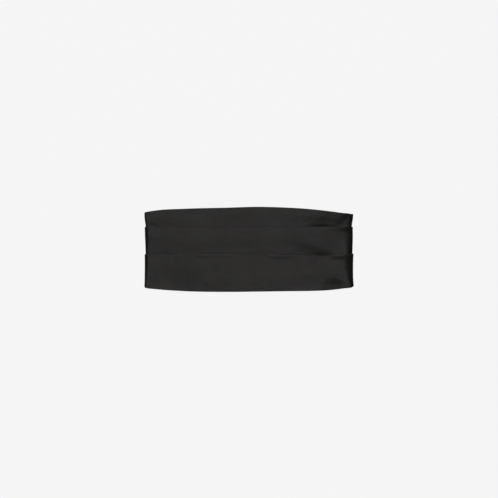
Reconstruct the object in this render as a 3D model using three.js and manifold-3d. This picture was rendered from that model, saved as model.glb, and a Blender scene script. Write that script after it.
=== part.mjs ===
// A pleated satin cummerbund, fastened at the back and laid flat with its front upwards.
// Three overlapping pleats, each a folded band of cloth, run round the whole loop: over the
// front, round a soft roll at each side, and back underneath to a bound end. A short strap
// joins each bound end to a plain clasp.
// Millimetres. X runs along the waist, +Y is the top edge as worn, +Z is out of the front.
// The origin is on the surface that it lies on, under the middle of the loop.

import * as THREE from "three";
import Module from "manifold-3d";
import { mergeVertices } from "three/addons/utils/BufferGeometryUtils.js";

// Overall sizes of the folded loop
const frontWidth = 345.5;
const frontHeight = 140;
const endHeight = 76; // of the pleats where the end band grips them
const turnedBack = 112; // from the outside of a side roll to the pleats' ends

// Cloth and the way that it is folded, at the middle of the front
const clothWall = 1.0;
const plyGap = 0.3;
const underlap = 20; // how far a pleat runs on under the next one
const hem = 12; // how far the top and bottom edges are turned in
const hemClear = 1.6; // from the end of a hem to where the cloth over it comes down
const lineClear = 1.5; // from a pleat line to where the cloth above it leaves the inner face

// How high the front lies, and how far the cloth takes to roll over at each side
const leftRise = 17.2;
const middleRise = 17.0;
const rightRise = 19.4;
const leftRoll = 7;
const rightRoll = 12.5;

// End bands
const bandLength = 24;
const bandGrip = 9; // how much of the pleats is inside the band
const bandOverhang = 1.2; // past the pleats at the top and at the bottom
const bandWall = 1.0;

// Straps and clasp
const strapWidth = 25;
const strapWall = 1.4;
const strapGrip = 8; // how much of the strap is inside the band
const strapReturn = 15; // the end that is turned under the clasp and sewn down
const slotClear = 0.6; // beside the strap in a band's slit and in the clasp
const claspLength = 34;
const claspWall = 2.0;
const claspBar = 3.2; // the bar that a strap is turned round
const claspSlot = 4.6;
const claspRim = 3.0; // past the ends of the slots
const claspCorner = 3.5;

// The front seen from above: its edges and its two pleat lines, a row for each section.
// across is a share of half the front width, and the others of the front height.
const frontSections = [
  { across: -1.0, top: 0.43, upperLine: 0.266, lowerLine: -0.056, bottom: -0.445 },
  { across: -0.95, top: 0.445, upperLine: 0.266, lowerLine: -0.056, bottom: -0.46 },
  { across: -0.85, top: 0.465, upperLine: 0.266, lowerLine: -0.055, bottom: -0.474 },
  { across: -0.62, top: 0.482, upperLine: 0.267, lowerLine: -0.052, bottom: -0.495 },
  { across: -0.24, top: 0.492, upperLine: 0.268, lowerLine: -0.051, bottom: -0.502 },
  { across: 0.07, top: 0.502, upperLine: 0.268, lowerLine: -0.052, bottom: -0.496 },
  { across: 0.3, top: 0.497, upperLine: 0.268, lowerLine: -0.058, bottom: -0.496 },
  { across: 0.53, top: 0.479, upperLine: 0.269, lowerLine: -0.064, bottom: -0.492 },
  { across: 0.68, top: 0.459, upperLine: 0.269, lowerLine: -0.066, bottom: -0.484 },
  { across: 0.84, top: 0.435, upperLine: 0.269, lowerLine: -0.064, bottom: -0.466 },
  { across: 0.92, top: 0.427, upperLine: 0.268, lowerLine: -0.062, bottom: -0.457 },
  { across: 1.0, top: 0.42, upperLine: 0.268, lowerLine: -0.06, bottom: -0.443 },
];
// The same lines where the pleats end, as shares of the end height.
const endSection = { top: 0.487, upperLine: 0.296, lowerLine: -0.059, bottom: -0.507 };

// Soft dents (and swells, where sink is below 0) of the front. across and wide are shares of
// half the front width, up and tall of the front height, and sink of the front's rise.
const dents = [
  { across: 0.66, up: -0.03, wide: 0.13, tall: 0.12, sink: 0.1 },
  { across: 0.8, up: -0.42, wide: 0.09, tall: 0.12, sink: 0.11 },
  { across: 0.8, up: 0.46, wide: 0.3, tall: 0.14, sink: 0.13 },
  { across: 0.9, up: -0.12, wide: 0.09, tall: 0.15, sink: -0.06 },
  { across: -0.9, up: 0.33, wide: 0.09, tall: 0.07, sink: 0.035 },
];

// Sizes that follow from the ones above
const halfWidth = frontWidth / 2;
const stack = 3 * clothWall + 2 * plyGap; // three plies, where a pleat lies on the one before
const backLevel = stack; // the loop's inner face where the pleats lie on the surface
const endLevel = bandWall + plyGap + stack; // and where the end band is under them
const foldRadius = (clothWall + plyGap) / 2; // of a fold's middle line
const endX = halfWidth - turnedBack;

// How finely the curves are cut
const backSteps = 4; // where the cloth behind comes down to the surface
const rollSteps = 8;
const frontSteps = 18;
const foldSteps = 4;
const strapTurnSteps = 8;

const at = (a, b) => new THREE.Vector2(a, b);
const mix = (a, b, share) => a + (b - a) * share;
// The middle of a ply of cloth, out from the loop's inner face
const levelOf = (ply) => clothWall / 2 + ply * (clothWall + plyGap);

// Half of the loop's back and its side roll, from the pleats' end outwards. Behind, the cloth
// leaves the end band level, comes down to the surface and lies on it as far as the roll.
function halfPath(side, roll, rise) {
  const gripped = endX + bandGrip + plyGap;
  const rollStart = halfWidth - roll;
  const landed = mix(gripped, rollStart, 0.75);
  const halfway = mix(gripped, rollStart, 0.25);
  const gap = rise - stack - backLevel;
  const held = new THREE.LineCurve(at(side * endX, endLevel), at(side * gripped, endLevel));
  const descent = new THREE.CubicBezierCurve(
    at(side * gripped, endLevel),
    at(side * halfway, endLevel),
    at(side * halfway, backLevel),
    at(side * landed, backLevel),
  );
  const lying = new THREE.LineCurve(at(side * landed, backLevel), at(side * rollStart, backLevel));
  const turn = new THREE.EllipseCurve(
    side * rollStart,
    backLevel + gap / 2,
    roll - stack,
    gap / 2,
    -Math.PI / 2,
    Math.PI / 2,
    side < 0,
  );
  return [
    { curve: held, steps: 1 },
    { curve: descent, steps: backSteps },
    { curve: lying, steps: 1 },
    { curve: turn, steps: rollSteps },
  ];
}

// The loop's inner face, as a path in the X-Z plane that starts at the pleats' left end,
// goes round the left side, over the front and round the right side.
function loopPath() {
  const left = halfPath(-1, leftRoll, leftRise);
  const right = halfPath(1, rightRoll, rightRise);
  const from = at(leftRoll - halfWidth, leftRise - stack);
  const to = at(halfWidth - rightRoll, rightRise - stack);
  const front = new THREE.CubicBezierCurve(
    from,
    at(mix(from.x, to.x, 1 / 3), middleRise - stack),
    at(mix(from.x, to.x, 2 / 3), middleRise - stack),
    to,
  );
  return [
    ...left,
    { curve: front, steps: frontSteps },
    ...right.reverse().map((part) => ({ ...part, reversed: true })),
  ];
}

// The four edges of the pleats at one place. In front they follow its sections, and behind
// they run straight from the side roll to the pleats' ends.
function edgesAt(place) {
  const across = THREE.MathUtils.clamp(place.outerX / halfWidth, -1, 1);
  const last = frontSections.length - 1;
  const next = frontSections.findIndex((row) => row.across > across);
  const i = next < 0 ? last : next;
  const a = frontSections[i - 1];
  const b = frontSections[i];
  const share = (across - a.across) / (b.across - a.across);
  const side = frontSections[across < 0 ? 0 : last];
  const taper = (halfWidth - Math.abs(place.outerX)) / turnedBack;
  const edges = {};
  for (const name of ["top", "upperLine", "lowerLine", "bottom"]) {
    edges[name] = place.inFront
      ? mix(a[name], b[name], share) * frontHeight
      : mix(side[name] * frontHeight, endSection[name] * endHeight, taper);
  }
  edges.scale = (edges.top - edges.bottom) / frontHeight;
  return edges;
}

// How far the cloth sinks at a place of the front.
function sinkAt(x, y) {
  let sunk = 0;
  for (const dent of dents) {
    const u = (x / halfWidth - dent.across) / dent.wide;
    const v = (y / frontHeight - dent.up) / dent.tall;
    sunk += dent.sink * middleRise * Math.exp(-(u * u + v * v));
  }
  return sunk;
}

// The places along the loop where the pleats have a section. The outside of the cloth there
// is at outerX, and softness is how much of the front's dents the place takes.
function stations() {
  const list = [];
  for (const { curve, steps, reversed } of loopPath()) {
    for (let i = list.length ? 1 : 0; i <= steps; i++) {
      const t = reversed ? 1 - i / steps : i / steps;
      const inner = curve.getPoint(t);
      const along = curve.getTangent(t).multiplyScalar(reversed ? -1 : 1);
      const normal = new THREE.Vector2(-along.y, along.x);
      list.push({
        inner,
        normal,
        outerX: inner.x + stack * normal.x,
        inFront: normal.y > -1e-6,
        softness: Math.max(0, normal.y),
      });
    }
  }
  return list;
}

// A strip of cloth folded along a middle line of points, as one closed outline.
function stripOutline(line, wall) {
  const offset = (side) =>
    line.map((p, i) => {
      const before = line[Math.max(i - 1, 0)];
      const after = line[Math.min(i + 1, line.length - 1)];
      const a = p.clone().sub(before).normalize();
      const b = after.clone().sub(p).normalize();
      if (i === 0) a.copy(b);
      if (i === line.length - 1) b.copy(a);
      const way = a.clone().add(b).normalize();
      const reach = wall / 2 / Math.max(way.dot(a), 0.5);
      return at(p.x - side * way.y * reach, p.y + side * way.x * reach);
    });
  const outline = [...offset(1), ...offset(-1).reverse()];
  return THREE.ShapeUtils.isClockWise(outline) ? outline.reverse() : outline;
}

// A half-round fold whose outside touches y = edge, from one ply's level to the next.
function fold(edge, facing, fromPly, toPly) {
  const centre = edge - facing * (foldRadius + clothWall / 2);
  const middle = (levelOf(fromPly) + levelOf(toPly)) / 2;
  const outwards = Math.sign(toPly - fromPly);
  return Array.from({ length: foldSteps + 1 }, (_, i) => {
    const angle = (i / foldSteps - 0.5) * Math.PI;
    return at(
      centre + facing * foldRadius * Math.cos(angle),
      middle + outwards * foldRadius * Math.sin(angle),
    );
  });
}

// A straight run of cloth between two places, without its first point.
function run(from, to, steps) {
  return Array.from({ length: steps }, (_, i) => {
    const share = (i + 1) / steps;
    return at(mix(from[0], to[0], share), mix(from[1], to[1], share));
  });
}

// The middle lines of the three pleats across their width, y up and n out of the cloth.
// The top pleat: from its hidden lower end up to the top edge, with the hem turned in.
function topPleatLine(e) {
  const low = e.upperLine - underlap * e.scale;
  const hemEnd = e.top - hem * e.scale;
  const ease = hemEnd - hemClear;
  return [
    at(low, levelOf(0)),
    ...run([low, levelOf(0)], [e.upperLine, levelOf(0)], 2),
    at(e.upperLine + lineClear, levelOf(0)),
    at(ease, levelOf(1)),
    ...run([ease, levelOf(1)], [e.top - 3 * clothWall, levelOf(1)], 2),
    ...fold(e.top, 1, 1, 0),
    at(hemEnd, levelOf(0)),
  ];
}

// The middle pleat: up behind its own face, over the fold at the upper pleat line, and down.
function middlePleatLine(e) {
  const low = e.upperLine - underlap * e.scale;
  return [
    at(low, levelOf(1)),
    at(mix(low, e.upperLine, 0.5), levelOf(1)),
    ...fold(e.upperLine, 1, 1, 2),
    ...run([e.upperLine, levelOf(2)], [low, levelOf(2)], 2),
    ...run([low, levelOf(2)], [e.lowerLine + lineClear, levelOf(0)], 2),
    at(e.lowerLine, levelOf(0)),
    ...run([e.lowerLine, levelOf(0)], [e.lowerLine - underlap * e.scale, levelOf(0)], 2),
  ];
}

// The bottom pleat: folded like the middle one, with the hem of the bottom edge turned in.
function bottomPleatLine(e) {
  const low = e.lowerLine - underlap * e.scale;
  const hemEnd = e.bottom + hem * e.scale;
  const ease = hemEnd + hemClear;
  return [
    at(low, levelOf(1)),
    at(mix(low, e.lowerLine, 0.5), levelOf(1)),
    ...fold(e.lowerLine, 1, 1, 2),
    ...run([e.lowerLine, levelOf(2)], [low, levelOf(2)], 2),
    at(ease, levelOf(1)),
    ...run([ease, levelOf(1)], [e.bottom + 3 * clothWall, levelOf(1)], 1),
    ...fold(e.bottom, -1, 1, 0),
    at(hemEnd, levelOf(0)),
  ];
}

// A solid whose sections are rings of 3-D points, closed at both ends by their 2-D outline.
function loft(rings, startOutline, endOutline) {
  const size = rings[0].length;
  const positions = rings.flat().flatMap((p) => [p.x, p.y, p.z]);
  const index = [];
  for (let k = 0; k + 1 < rings.length; k++) {
    for (let i = 0; i < size; i++) {
      const j = (i + 1) % size;
      const [a, b, c, d] = [k * size + i, k * size + j, (k + 1) * size + j, (k + 1) * size + i];
      index.push(a, b, c, a, c, d);
    }
  }
  const first = (rings.length - 1) * size;
  for (const [a, b, c] of THREE.ShapeUtils.triangulateShape(startOutline, [])) {
    index.push(a, c, b);
  }
  for (const [a, b, c] of THREE.ShapeUtils.triangulateShape(endOutline, [])) {
    index.push(first + a, first + b, first + c);
  }
  const geometry = new THREE.BufferGeometry();
  geometry.setAttribute("position", new THREE.Float32BufferAttribute(positions, 3));
  geometry.setIndex(index);
  return geometry;
}

// One pleat, carried along the whole loop.
function pleatGeometry(lineAt) {
  const places = stations();
  const outlines = places.map((place) => stripOutline(lineAt(edgesAt(place)), clothWall));
  const rings = places.map(({ inner, normal, softness }, k) =>
    outlines[k].map(({ x: y, y: out }) => {
      const n = out - softness * sinkAt(inner.x, y);
      return new THREE.Vector3(inner.x + n * normal.x, y, inner.y + n * normal.y);
    }),
  );
  return loft(rings, outlines[0], outlines[outlines.length - 1]);
}

const wasm = await Module();
wasm.setup();

function toSolid(geometry) {
  const bare = geometry.clone();
  bare.deleteAttribute("normal");
  bare.deleteAttribute("uv");
  const merged = mergeVertices(bare, 1e-4);
  return new wasm.Manifold(
    new wasm.Mesh({
      numProp: 3,
      vertProperties: merged.attributes.position.array,
      triVerts: new Uint32Array(merged.index.array),
    }),
  );
}

function toGeometry(solid) {
  const mesh = solid.getMesh();
  const geometry = new THREE.BufferGeometry();
  geometry.setAttribute("position", new THREE.BufferAttribute(mesh.vertProperties, 3));
  geometry.setIndex(new THREE.BufferAttribute(mesh.triVerts, 1));
  return geometry;
}

// The pleats' ends, in y
const endMiddle = ((endSection.top + endSection.bottom) / 2) * endHeight;
const pleatsEnd = (endSection.top - endSection.bottom) * endHeight;

// Levels of the strap's middle line
const strapInBand = bandWall + plyGap + strapWall / 2;
const returnLevel = strapWall / 2;
const overReturn = returnLevel + strapWall + plyGap;
const claspBottom = strapWall + plyGap;
const overBar = claspBottom + claspWall + plyGap + strapWall / 2;

// An outline in the X-Z plane pushed along Y, to both sides of y = 0.
function acrossWaist(outline, width) {
  const geometry = new THREE.ExtrudeGeometry(new THREE.Shape(outline), {
    depth: width,
    bevelEnabled: false,
  });
  geometry.rotateX(Math.PI / 2);
  geometry.translate(0, width / 2, 0);
  return geometry;
}

// A band of folded cloth that holds the pleats' ends on one side and a strap on the other.
// It is drawn for the right side, with its mouth at the pleats.
function endBandGeometry() {
  const mouth = endX + bandGrip;
  const shut = mouth - bandLength;
  const pleatTop = endLevel + plyGap;
  const strapTop = strapInBand + strapWall / 2 + plyGap;
  const stepFrom = endX - plyGap;
  const stepTo = stepFrom - (pleatTop - strapTop);
  const outline = [
    at(mouth, 0),
    at(mouth, bandWall),
    at(shut + bandWall, bandWall),
    at(shut + bandWall, strapTop),
    at(stepTo - bandWall, strapTop),
    at(stepFrom, pleatTop),
    at(mouth, pleatTop),
    at(mouth, pleatTop + bandWall),
    at(stepFrom, pleatTop + bandWall),
    at(stepTo - bandWall, strapTop + bandWall),
    at(shut, strapTop + bandWall),
    at(shut, 0),
  ];
  const band = toSolid(acrossWaist(outline, pleatsEnd + 2 * bandOverhang));
  const slit = new THREE.BoxGeometry(
    4 * bandWall,
    strapWidth + 2 * slotClear,
    strapWall + 2 * plyGap,
  );
  slit.translate(shut, 0, strapInBand);
  return toGeometry(band.subtract(toSolid(slit)));
}

// A strap from inside the band, over the clasp's bar, down its slot and back underneath.
function strapGeometry() {
  const start = endX + bandGrip - bandLength + bandWall + strapGrip;
  const barEdge = claspLength / 2;
  const turnX = barEdge - claspBar;
  const radius = (overBar - returnLevel) / 2;
  const rise = overBar - overReturn;
  const returnEnd = turnX + strapReturn;
  const line = [
    at(start, strapInBand),
    at(start - strapGrip - 2 * bandWall, strapInBand),
    at(returnEnd + 2 * strapWall, overReturn),
    at(barEdge + strapWall + rise, overReturn),
    at(barEdge + plyGap, overBar),
  ];
  const reach = strapWall / 2 + plyGap;
  for (let i = 0; i <= strapTurnSteps; i++) {
    const angle = (0.5 - i / strapTurnSteps) * Math.PI;
    const level = returnLevel + radius * (1 + Math.sin(angle));
    line.push(at(turnX - reach * Math.max(Math.cos(angle), 0), level));
  }
  line.push(at(returnEnd, returnLevel));
  return acrossWaist(stripOutline(line, strapWall), strapWidth);
}

// The clasp: a plate with a slot for each strap.
function claspGeometry() {
  const slotWidth = strapWidth + 2 * slotClear;
  const long = claspLength / 2;
  const wide = slotWidth / 2 + claspRim;
  const plate = new THREE.Shape();
  const corners = [
    { x: long, y: -wide, from: -Math.PI / 2 },
    { x: long, y: wide, from: 0 },
    { x: -long, y: wide, from: Math.PI / 2 },
    { x: -long, y: -wide, from: Math.PI },
  ];
  for (const { x, y, from } of corners) {
    const inX = x - Math.sign(x) * claspCorner;
    const inY = y - Math.sign(y) * claspCorner;
    plate.absarc(inX, inY, claspCorner, from, from + Math.PI / 2);
  }
  const geometry = new THREE.ExtrudeGeometry(plate, {
    depth: claspWall,
    bevelEnabled: false,
    curveSegments: 4,
  });
  geometry.translate(0, 0, claspBottom);
  let solid = toSolid(geometry);
  for (const side of [-1, 1]) {
    const slot = new THREE.BoxGeometry(claspSlot, slotWidth, 3 * claspWall);
    slot.translate(side * (long - claspBar - claspSlot / 2), 0, claspBottom + claspWall / 2);
    solid = solid.subtract(toSolid(slot));
  }
  return toGeometry(solid);
}

const satin = new THREE.MeshStandardMaterial({ color: 0x2e2d2c, roughness: 0.55, metalness: 0 });
const bandSatin = new THREE.MeshStandardMaterial({ color: 0x2a2928, roughness: 0.6, metalness: 0 });
const webbing = new THREE.MeshStandardMaterial({ color: 0x1f1e1e, roughness: 0.85, metalness: 0 });
const darkMetal = new THREE.MeshStandardMaterial({ color: 0x1a1a1c, roughness: 0.4, metalness: 0.8 });

const cummerbund = new THREE.Group();

function add(group, name, geometry, material) {
  const mesh = new THREE.Mesh(geometry, material);
  mesh.name = name;
  geometry.computeVertexNormals();
  group.add(mesh);
}

add(cummerbund, "top_pleat", pleatGeometry(topPleatLine), satin);
add(cummerbund, "middle_pleat", pleatGeometry(middlePleatLine), satin);
add(cummerbund, "bottom_pleat", pleatGeometry(bottomPleatLine), satin);

// The fastening is the same on both sides, turned half round for the left.
const fastening = new THREE.Group();
fastening.position.y = endMiddle;
for (const [side, turn] of [["right", 0], ["left", Math.PI]]) {
  const half = new THREE.Group();
  half.rotation.z = turn;
  add(half, `${side}_end_band`, endBandGeometry(), bandSatin);
  add(half, `${side}_strap`, strapGeometry(), webbing);
  fastening.add(half);
}
add(fastening, "clasp", claspGeometry(), darkMetal);
cummerbund.add(fastening);

export default cummerbund;
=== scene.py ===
# %% [markdown]
# A pleated satin cummerbund, laid flat
#
# A cummerbund is a broad pleated sash that closes behind the back. This one is fastened into
# its loop and laid down with the front up, so the sides roll over and the ends lie underneath.
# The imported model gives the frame: real sizes, real places, and a plain solid for each piece.
# Here each of those solids gets its look, from thinner cloth with far finer shapes.

# %% Load the frame
import math

import bmesh
import bpy
import numpy as np
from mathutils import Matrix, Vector


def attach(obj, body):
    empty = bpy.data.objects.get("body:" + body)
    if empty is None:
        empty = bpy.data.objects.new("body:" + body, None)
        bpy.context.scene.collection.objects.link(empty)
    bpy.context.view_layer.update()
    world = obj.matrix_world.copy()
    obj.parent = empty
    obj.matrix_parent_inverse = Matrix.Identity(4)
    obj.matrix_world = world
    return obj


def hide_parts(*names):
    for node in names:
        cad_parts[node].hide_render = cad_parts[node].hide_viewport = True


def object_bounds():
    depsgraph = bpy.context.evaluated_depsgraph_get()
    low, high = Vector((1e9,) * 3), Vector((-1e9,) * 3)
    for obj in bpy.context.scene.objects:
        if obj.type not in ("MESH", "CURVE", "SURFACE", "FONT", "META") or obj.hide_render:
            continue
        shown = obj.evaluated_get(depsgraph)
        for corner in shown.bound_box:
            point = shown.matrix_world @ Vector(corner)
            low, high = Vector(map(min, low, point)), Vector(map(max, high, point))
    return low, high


mm = 0.001
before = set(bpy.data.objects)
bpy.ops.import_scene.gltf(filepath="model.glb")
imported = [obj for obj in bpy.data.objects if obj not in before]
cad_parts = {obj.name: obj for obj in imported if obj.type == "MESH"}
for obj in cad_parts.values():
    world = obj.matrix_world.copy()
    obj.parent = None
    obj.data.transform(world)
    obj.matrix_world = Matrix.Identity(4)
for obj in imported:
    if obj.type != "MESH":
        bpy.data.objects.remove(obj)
cad_low, cad_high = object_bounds()
print("nodes:", ", ".join(sorted(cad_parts)))
print("the frame's box in mm:", [round(v / mm, 1) for v in cad_high - cad_low])

# %% [markdown]
# A pale floor without a shadow
#
# The cummerbund lies on pale paper. A plain white plane would need even lamps of its own, and it
# would show a shadow. So nearly all of its tone is its own glow. The satin is kept from seeing
# it, because light from that side would fill in the dark side rolls.

# %% The floor
floor_tone = (0.932, 0.932, 0.932)
floor_glow = 0.97  # how much of its tone is its own light
floor_size = 60  # metres, so that its edges stay out of the picture
floor_drop = 0.0003  # metres, so that the cloth never shares its plane


def plain_tree(owner):
    """The owner's node tree, emptied."""
    owner.use_nodes = True
    owner.node_tree.nodes.clear()
    return owner.node_tree


def new_node(tree, kind, sockets, **settings):
    """A node. Each of its sockets that is named gets a value, or a link from another node."""
    node = tree.nodes.new(kind)
    for setting, choice in settings.items():
        setattr(node, setting, choice)
    for socket, value in sockets.items():
        if isinstance(value, bpy.types.NodeSocket):
            tree.links.new(value, node.inputs[socket])
        else:
            node.inputs[socket].default_value = value
    return node


def make_floor():
    bpy.ops.mesh.primitive_plane_add(size=floor_size, location=(0, 0, -floor_drop))
    floor = bpy.context.object
    floor.name = "floor"
    paper = bpy.data.materials.new("pale paper")
    tree = plain_tree(paper)
    matte = new_node(tree, "ShaderNodeBsdfDiffuse", {"Color": (*floor_tone, 1)})
    glow = new_node(tree, "ShaderNodeEmission", {"Color": (*floor_tone, 1)})
    shares = {"Fac": floor_glow, 1: matte.outputs[0], 2: glow.outputs[0]}
    blend = new_node(tree, "ShaderNodeMixShader", shares)
    new_node(tree, "ShaderNodeOutputMaterial", {"Surface": blend.outputs[0]})
    floor.data.materials.append(paper)
    floor.visible_diffuse = False
    floor.visible_glossy = False


make_floor()
print("floor of", floor_tone, "with", floor_glow, "of its own light")

# %% [markdown]
# Lights that let black satin read as satin
#
# Black satin takes its brightness from what it mirrors, very softly. Small bright lamps would
# leave hot spots on it. One wide softbox straight overhead is mirrored by everything that faces
# up instead, so the front is an even charcoal and each side roll turns dark as soon as it tips
# away. A softbox beyond the top edge draws a thin light on the folds, and one before the bottom
# edge does the same for the lower hem. Two weak ones low at the sides, and four low at the
# corners, keep the rolls and the ends of the pleats from sinking into plain black.

# %% The lights
softboxes = [
    # name, place and what it points at in metres, width, height, light
    ("overhead", (0.0, -0.06, 3.2), (0, 0, 0), 1.9, 1.1, 14.4),
    ("beyond the top edge", (0.0, 2.4, 2.4), (0, 0, 0), 2.6, 0.7, 31.0),
    ("before the bottom edge", (0.0, -3.0, 1.2), (0, 0, 0), 2.0, 0.8, 12.0),
    ("low on the right", (3.2, 0.0, 0.5), (0, 0, 0), 1.6, 0.5, 0.6),
    ("low on the left", (-3.2, 0.0, 0.5), (0, 0, 0), 1.6, 0.5, 0.6),
    ("low behind on the right", (2.2, 2.2, 1.1), (0, 0, 0), 1.6, 0.7, 3.2),
    ("low behind on the left", (-2.2, 2.2, 1.1), (0, 0, 0), 1.6, 0.7, 4.5),
    ("low in front on the right", (2.2, -2.2, 1.1), (0, 0, 0), 1.6, 0.7, 3.2),
    ("low in front on the left", (-2.2, -2.2, 1.1), (0, 0, 0), 1.6, 0.7, 4.5),
]
lamp_tint = (1.0, 0.965, 0.95)


def placed(name, data):
    """A new object made of that data, linked into the scene."""
    thing = bpy.data.objects.new(name, data)
    bpy.context.scene.collection.objects.link(thing)
    return thing


def make_softbox(name, place, target, width, height, light):
    lamp = bpy.data.lights.new(name, "AREA")
    lamp.shape = "RECTANGLE"
    lamp.size = width
    lamp.size_y = height
    lamp.energy = light
    lamp.color = lamp_tint
    box = placed(name, lamp)
    box.location = place
    box.visible_camera = False
    way = Vector(target) - box.location
    box.rotation_euler = way.to_track_quat("-Z", "Y").to_euler()


for row in softboxes:
    make_softbox(*row)
print(len(softboxes), "softboxes")

# %% [markdown]
# The surroundings
#
# A dim room is what the satin mirrors where it mirrors no lamp. One even grey would do, but a
# real studio is darker near the ground. So the world's strength grows with height. The camera
# gets the floor's tone from it instead, by way of the Light Path node, and so the ground has no
# far edge.

# %% A dim room round the table
surround_below, surround_above = 0.01, 0.036  # how strongly the room shines
surround_start, surround_stop = -0.1, 0.5  # where that changes, with 1 straight up


def ranged(tree, value, low, high, start=0.3, stop=0.7):
    """Makes a value go from low to high. Nearly all of a noise is between the usual start and stop."""
    sockets = {"Value": value, "From Min": start, "From Max": stop, "To Min": low, "To Max": high}
    return new_node(tree, "ShaderNodeMapRange", sockets).outputs[0]


def make_surroundings():
    world = bpy.data.worlds.new("studio")
    bpy.context.scene.world = world
    tree = plain_tree(world)
    where = new_node(tree, "ShaderNodeTexCoord", {})
    split = new_node(tree, "ShaderNodeSeparateXYZ", {0: where.outputs["Generated"]})
    height = split.outputs["Z"]
    strength = ranged(tree, height, surround_below, surround_above, surround_start, surround_stop)
    lit = new_node(tree, "ShaderNodeBackground", {"Strength": strength})
    seen = new_node(tree, "ShaderNodeBackground", {"Color": (*floor_tone, 1)})
    path = new_node(tree, "ShaderNodeLightPath", {})
    shares = {"Fac": path.outputs["Is Camera Ray"], 1: lit.outputs[0], 2: seen.outputs[0]}
    blend = new_node(tree, "ShaderNodeMixShader", shares)
    new_node(tree, "ShaderNodeOutputWorld", {"Surface": blend.outputs[0]})


make_surroundings()
bpy.context.scene.view_settings.view_transform = "Standard"
print("the room goes from", surround_below, "below to", surround_above, "above")

# %% [markdown]
# The camera
#
# The picture looks straight down on the front, with the top edge up. The lens is long, so the
# sides hardly splay. The height follows from how many millimetres the picture takes in.

# %% Look straight down
picture_width = 0.826  # how much of the surface the picture takes in, in metres
picture_middle = (0.0002, 0.0007)  # what is at the picture's middle
front_level = 0.016  # how high above the floor the front lies, in metres
lens = 100.0
sensor = 36.0


def make_camera():
    camera = placed("camera", bpy.data.cameras.new("camera"))
    camera.data.lens = lens
    camera.data.sensor_width = sensor
    above = picture_width * lens / sensor
    camera.location = (*picture_middle, front_level + above)
    camera.rotation_euler = (0, 0, 0)
    bpy.context.scene.camera = camera
    return camera


camera = make_camera()
print("camera", round(camera.location.z, 3), "m above the floor")

# %% [markdown]
# The loop of cloth
#
# The cummerbund was folded from long bands, so it is made the same way here: one path goes
# round the waist, and at every place on it the cloth has a cross section. The path below is
# the loop's inner face seen along Y. It leaves the end band, comes down to the table, turns
# over the side roll and crosses the front. Lengths are in millimetres until a mesh is made.

# %% Sizes of the folded loop
front_width = (cad_high.x - cad_low.x) / mm
half_width = front_width / 2
front_height = 140.0
end_height = 76.0  # of the pleats where the end band grips them
turned_back = 112.0  # from the outside of a side roll to the pleats' ends
left_rise, middle_rise, right_rise = 17.2, 17.0, 19.4  # how high the front stands on the table
left_roll, right_roll = 7.0, 19.5  # how far in from the outside each side roll starts
left_pinch, right_pinch = 3.1, 5.0  # the same rolls where they are pressed, near the edges
left_splay, right_splay = 2.1, 3.2  # and how far they spread there
band_grip = 9.0  # how much of the pleats is inside the end band

cloth = 0.6
ply_gap = 0.25
stack = 3 * cloth + 2 * ply_gap
end_x = half_width - turned_back

band_cloth = 0.45  # the end bands are pressed thinner
band_ply = 0.5  # from the middle of one of their plies to the next
band_low = 0.3  # the middle of the ply that lies on the table
snug = 0.075  # between pieces that lie on each other
hem_top = band_low + band_ply + band_cloth / 2
end_level = hem_top + snug + stack
print("three plies are", round(stack, 2), "mm thick, and the front is", round(front_width, 1), "mm wide")

# %% The path round the waist
landing = 0.75  # where the cloth has come down on the table, as a share of the way to the roll
drop_pull = 0.25  # and where the corners that pull it down stand, as a share of the same way
# places in the band, on the way down, on the table, round the roll and over the front
held_points, down_points, lying_points, turn_points, front_points = 6, 34, 14, 30, 231
tiny = 1e-6  # less than this is nothing


def mix(a, b, share):
    return a + (b - a) * share


def bezier(corners, points):
    """So many points along the smooth curve that four corners pull."""
    a, b, c, d = (np.array(p, float) for p in corners)
    t = np.linspace(0, 1, points)[:, None]
    u = 1 - t
    return u**3 * a + 3 * u * u * t * b + 3 * u * t * t * c + t**3 * d


def half_path(side, roll, rise, splay):
    """The inner face from the pleats' end to the top of the side roll, as x and z."""
    back_level = stack
    gripped = end_x + band_grip + ply_gap
    roll_start = half_width + splay - roll
    landed = mix(gripped, roll_start, landing)
    dropping = mix(gripped, roll_start, drop_pull)
    gap = rise - stack - back_level
    held = bezier([(end_x, end_level)] * 2 + [(gripped, end_level)] * 2, held_points)
    corners = [(gripped, end_level), (dropping, end_level), (dropping, back_level), (landed, back_level)]
    down = bezier(corners, down_points)
    lying_x = np.linspace(landed, roll_start, lying_points)
    lying = np.stack([lying_x, np.full(lying_points, back_level)], 1)
    angle = np.linspace(-math.pi / 2, math.pi / 2, turn_points)
    turn_x = roll_start + (roll - stack) * np.cos(angle)
    turn_z = back_level + gap / 2 * (1 + np.sin(angle))
    turn = np.stack([turn_x, turn_z], 1)
    path = np.concatenate([held[:-1], down[:-1], lying[:-1], turn])
    path[:, 0] *= side
    return path


def loop_path(roll_left, roll_right, splay_left=0.0, splay_right=0.0):
    """The whole inner face, from the left end over the front to the right end."""
    left = half_path(-1, roll_left, left_rise, splay_left)
    right = half_path(1, roll_right, right_rise, splay_right)[::-1]
    start, stop = left[-1], right[0]
    low = middle_rise - stack
    corners = [start, (mix(start[0], stop[0], 1 / 3), low), (mix(start[0], stop[0], 2 / 3), low), stop]
    front = bezier(corners, front_points)
    return np.concatenate([left[:-1], front, right[1:]])


def outward_of(path):
    """The direction out of the loop at each place of its path."""
    along = np.gradient(path, axis=0)
    along /= np.linalg.norm(along, axis=1, keepdims=True)
    return np.stack([-along[:, 1], along[:, 0]], 1)


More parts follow.
